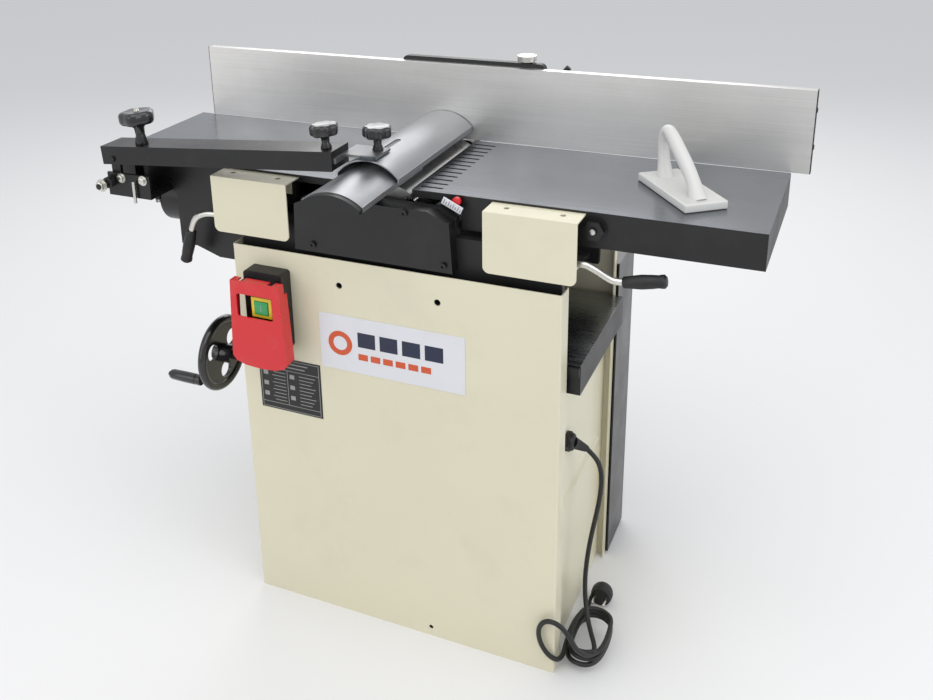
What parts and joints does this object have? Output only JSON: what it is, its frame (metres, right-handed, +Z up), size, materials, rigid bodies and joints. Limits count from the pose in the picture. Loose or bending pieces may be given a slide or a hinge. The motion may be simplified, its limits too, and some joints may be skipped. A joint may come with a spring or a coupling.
{
  "type": "jointer",
  "caption": "Surface planer and thicknesser on a cream sheet-steel cabinet, with hinged cast tables, tilting fence, bridge guard and handwheel.",
  "frame": {"origin": "middle of the cabinet's footprint on the floor", "axes": "X along the tables towards the infeed end, Y from the operator's side to the back, Z up"},
  "size_m": [1.1138, 0.576, 0.95],
  "materials": {
    "cream_paint": "semi-gloss cream powder paint on pressed sheet steel",
    "black_paint": "black enamel on cast and folded metal",
    "ground_iron": "ground and polished cast iron, black painted edges",
    "bright_steel": "turned or zinc-plated steel",
    "motor_grey": "grey enamel on a finned motor housing",
    "fence_aluminium": "anodised extrusion, fine brushed lengthwise",
    "guard_grey": "satin silver-grey lacquer on an aluminium extrusion",
    "black_plastic": "glossy black phenolic and nylon",
    "red_plastic": "glossy signal-red moulding",
    "green_plastic": "glossy green push button",
    "white_plastic": "white moulded plastic",
    "belt_rubber": "black rubber"
  },
  "bodies": {
    "root": {"cabinet_body": "cream_paint", "front_panel": "cream_paint", "frame_front_wall": "black_paint", "frame_rear_wall": "black_paint", "frame_ties": "bright_steel", "cutter_bearings": "bright_steel", "column_sleeve": "black_paint", "lift_bracket": "black_paint", "front_cover": "black_paint", "cover_screws": "bright_steel", "rear_drive_cover": "black_paint", "dust_hood": "black_paint", "motor": "motor_grey", "drive_belt": "belt_rubber", "feed_chain": "bright_steel", "switch_box": "black_plastic", "cable_gland": "black_plastic", "cord_run": "belt_rubber", "cord_coil": "belt_rubber", "power_plug": "black_plastic"},
    "cutter": {"cutter_block": "bright_steel", "cutter_knives": "bright_steel", "cutter_pulley": "bright_steel"},
    "motor_rotor": {"motor_pulley": "bright_steel"},
    "infeed_roller_body": {"infeed_roller": "bright_steel"},
    "outfeed_roller_body": {"outfeed_roller": "bright_steel"},
    "feed_gear_body": {"feed_gear": "bright_steel"},
    "kickback": {"kickback_fingers": "bright_steel"},
    "lower_table": {"thickness_table": "ground_iron", "lift_screw": "bright_steel"},
    "lift_gear": {"lift_nut_gear": "bright_steel"},
    "wheel": {"handwheel": "black_plastic"},
    "wheel_grip": {"handwheel_grip": "black_plastic"},
    "outfeed": {"outfeed_table": "ground_iron", "left_lock_cover": "cream_paint", "arm_bracket": "black_paint", "fence_rail": "black_paint"},
    "infeed_hinge": {"infeed_carrier": "black_paint"},
    "infeed": {"infeed_table": "ground_iron", "right_lock_cover": "cream_paint"},
    "depth": {"depth_knob": "bright_steel"},
    "left_lever": {"left_lock_lever": "bright_steel"},
    "right_lever": {"right_lock_lever": "bright_steel"},
    "fence_slider": {"fence_slide": "black_paint"},
    "fence": {"fence_plate": "fence_aluminium", "fence_end_caps": "black_plastic", "fence_bracket": "black_paint"},
    "fence_tilt_clamp": {"tilt_lever": "bright_steel"},
    "fence_slide_clamp": {"fence_lock_lever": "bright_steel"},
    "arm": {"guard_arm": "black_paint", "guard_holder": "bright_steel"},
    "guard": {"upper_guard": "guard_grey"},
    "guard_nose": {"lower_guard": "guard_grey"},
    "arm_knob": {"arm_knob_left": "black_plastic"},
    "end_knob": {"arm_knob_right": "black_plastic"},
    "guard_clamp": {"guard_knob": "black_plastic"},
    "flap": {"switch_flap": "red_plastic"},
    "start": {"start_button": "green_plastic"},
    "stop": {"stop_button": "black_plastic"},
    "push": {"push_block": "white_plastic"}
  },
  "joints": [
    {"name": "cutter_spin", "type": "hinge", "parent": "root", "child": "cutter", "pos_m": [0, 0, 0.764], "axis": [0, 1, 0], "continuous": true},
    {"name": "motor_spin", "type": "hinge", "parent": "root", "child": "motor_rotor", "pos_m": [0.14, 0.1, 0.172], "axis": [0, 1, 0], "continuous": true},
    {"name": "infeed_roller_spin", "type": "hinge", "parent": "root", "child": "infeed_roller_body", "pos_m": [-0.068, 0, 0.75], "axis": [0, 1, 0], "continuous": true},
    {"name": "outfeed_roller_spin", "type": "hinge", "parent": "root", "child": "outfeed_roller_body", "pos_m": [0.068, 0, 0.75], "axis": [0, 1, 0], "continuous": true},
    {"name": "feed_gear_spin", "type": "hinge", "parent": "root", "child": "feed_gear_body", "pos_m": [0, -0.14, 0.73], "axis": [0, 1, 0], "continuous": true},
    {"name": "kickback_swing", "type": "hinge", "parent": "root", "child": "kickback", "pos_m": [-0.134, 0, 0.758], "axis": [0, -1, 0], "range_deg": [0, 65]},
    {"name": "thickness_slide", "type": "slide", "parent": "root", "child": "lower_table", "axis": [0, 0, 1], "range_m": [0, 0.07]},
    {"name": "lift_gear_spin", "type": "hinge", "parent": "root", "child": "lift_gear", "pos_m": [-0.12, -0.101, 0.413], "axis": [0, 0, 1], "continuous": true},
    {"name": "handwheel_spin", "type": "hinge", "parent": "root", "child": "wheel", "pos_m": [-0.366, -0.101, 0.433], "axis": [1, 0, 0], "continuous": true},
    {"name": "handwheel_grip_spin", "type": "hinge", "parent": "wheel", "child": "wheel_grip", "pos_m": [-0.4, -0.152, 0.4], "axis": [1, 0, 0], "continuous": true},
    {"name": "outfeed_tilt", "type": "hinge", "parent": "root", "child": "outfeed", "pos_m": [-0.21, 0.178, 0.77], "axis": [-1, 0, 0], "range_deg": [0, 90]},
    {"name": "infeed_tilt", "type": "hinge", "parent": "root", "child": "infeed_hinge", "pos_m": [0.21, 0.178, 0.77], "axis": [-1, 0, 0], "range_deg": [0, 90]},
    {"name": "infeed_depth", "type": "slide", "parent": "infeed_hinge", "child": "infeed", "axis": [0, 0, 1], "range_m": [-0.003, 0]},
    {"name": "depth_knob_turn", "type": "hinge", "parent": "infeed", "child": "depth", "pos_m": [0.313, -0.1227, 0.775], "axis": [0, 1, 0], "range_deg": [-180, 0]},
    {"name": "left_lever_turn", "type": "hinge", "parent": "root", "child": "left_lever", "pos_m": [-0.285, -0.148, 0.724], "axis": [0, 1, 0], "range_deg": [0, 30]},
    {"name": "right_lever_turn", "type": "hinge", "parent": "root", "child": "right_lever", "pos_m": [0.285, -0.148, 0.724], "axis": [0, 1, 0], "range_deg": [0, 30]},
    {"name": "fence_slide_y", "type": "slide", "parent": "outfeed", "child": "fence_slider", "axis": [0, 1, 0], "range_m": [-0.07, 0]},
    {"name": "fence_tilt", "type": "hinge", "parent": "fence_slider", "child": "fence", "pos_m": [0.0175, 0.168, 0.808], "axis": [-1, 0, 0], "range_deg": [0, 45]},
    {"name": "tilt_lever_turn", "type": "hinge", "parent": "fence", "child": "fence_tilt_clamp", "pos_m": [0.152, 0.182, 0.9], "axis": [-1, 0, 0], "range_deg": [0, 60]},
    {"name": "fence_lock_turn", "type": "hinge", "parent": "outfeed", "child": "fence_slide_clamp", "pos_m": [-0.082, 0.218, 0.826], "axis": [0, 0, 1], "range_deg": [0, 60]},
    {"name": "arm_tilt", "type": "hinge", "parent": "outfeed", "child": "arm", "pos_m": [-0.49, -0.154, 0.809], "axis": [0, -1, 0], "range_deg": [-1, 25]},
    {"name": "guard_slide", "type": "slide", "parent": "arm", "child": "guard", "axis": [0, 1, 0], "range_m": [-0.07, 0]},
    {"name": "nose_slide", "type": "slide", "parent": "guard", "child": "guard_nose", "axis": [0, 1, 0], "range_m": [0, 0.08]},
    {"name": "arm_knob_turn", "type": "hinge", "parent": "arm", "child": "arm_knob", "pos_m": [-0.4408, -0.161, 0.8345], "axis": [-0.0819, 0, 0.9966], "range_deg": [0, 270]},
    {"name": "end_knob_turn", "type": "hinge", "parent": "arm", "child": "end_knob", "pos_m": [-0.0924, -0.161, 0.8634], "axis": [-0.0819, 0, 0.9966], "range_deg": [0, 270]},
    {"name": "guard_knob_turn", "type": "hinge", "parent": "arm", "child": "guard_clamp", "pos_m": [-0.029, -0.115, 0.86], "axis": [0, 0, 1], "range_deg": [0, 270]},
    {"name": "flap_lift", "type": "hinge", "parent": "root", "child": "flap", "pos_m": [-0.208, -0.203, 0.633], "axis": [-1, 0, 0], "range_deg": [0, 95]},
    {"name": "start_press", "type": "slide", "parent": "root", "child": "start", "axis": [0, 1, 0], "range_m": [0, 0.003], "stiffness_N_per_m": 400},
    {"name": "stop_press", "type": "slide", "parent": "root", "child": "stop", "axis": [0, 1, 0], "range_m": [0, 0.003], "stiffness_N_per_m": 400},
    {"name": "push_block_lift", "type": "slide", "parent": "infeed", "child": "push", "axis": [0, 0, 1], "range_m": [0, 0.15]}
  ],
  "couplings": [
    {"joint": "motor_spin", "follows": "cutter_spin", "ratio": 0.48},
    {"joint": "feed_gear_spin", "follows": "cutter_spin", "ratio": -0.37},
    {"joint": "infeed_roller_spin", "follows": "cutter_spin", "ratio": -0.185},
    {"joint": "outfeed_roller_spin", "follows": "cutter_spin", "ratio": -0.185},
    {"joint": "lift_gear_spin", "follows": "thickness_slide", "rad_per_m": 1570.8},
    {"joint": "handwheel_spin", "follows": "thickness_slide", "rad_per_m": 1570.8},
    {"joint": "infeed_tilt", "follows": "outfeed_tilt", "ratio": 1},
    {"joint": "depth_knob_turn", "follows": "infeed_depth", "rad_per_m": 1047.2},
    {"joint": "guard_slide", "follows": "fence_slide_y", "ratio": 1}
  ]
}
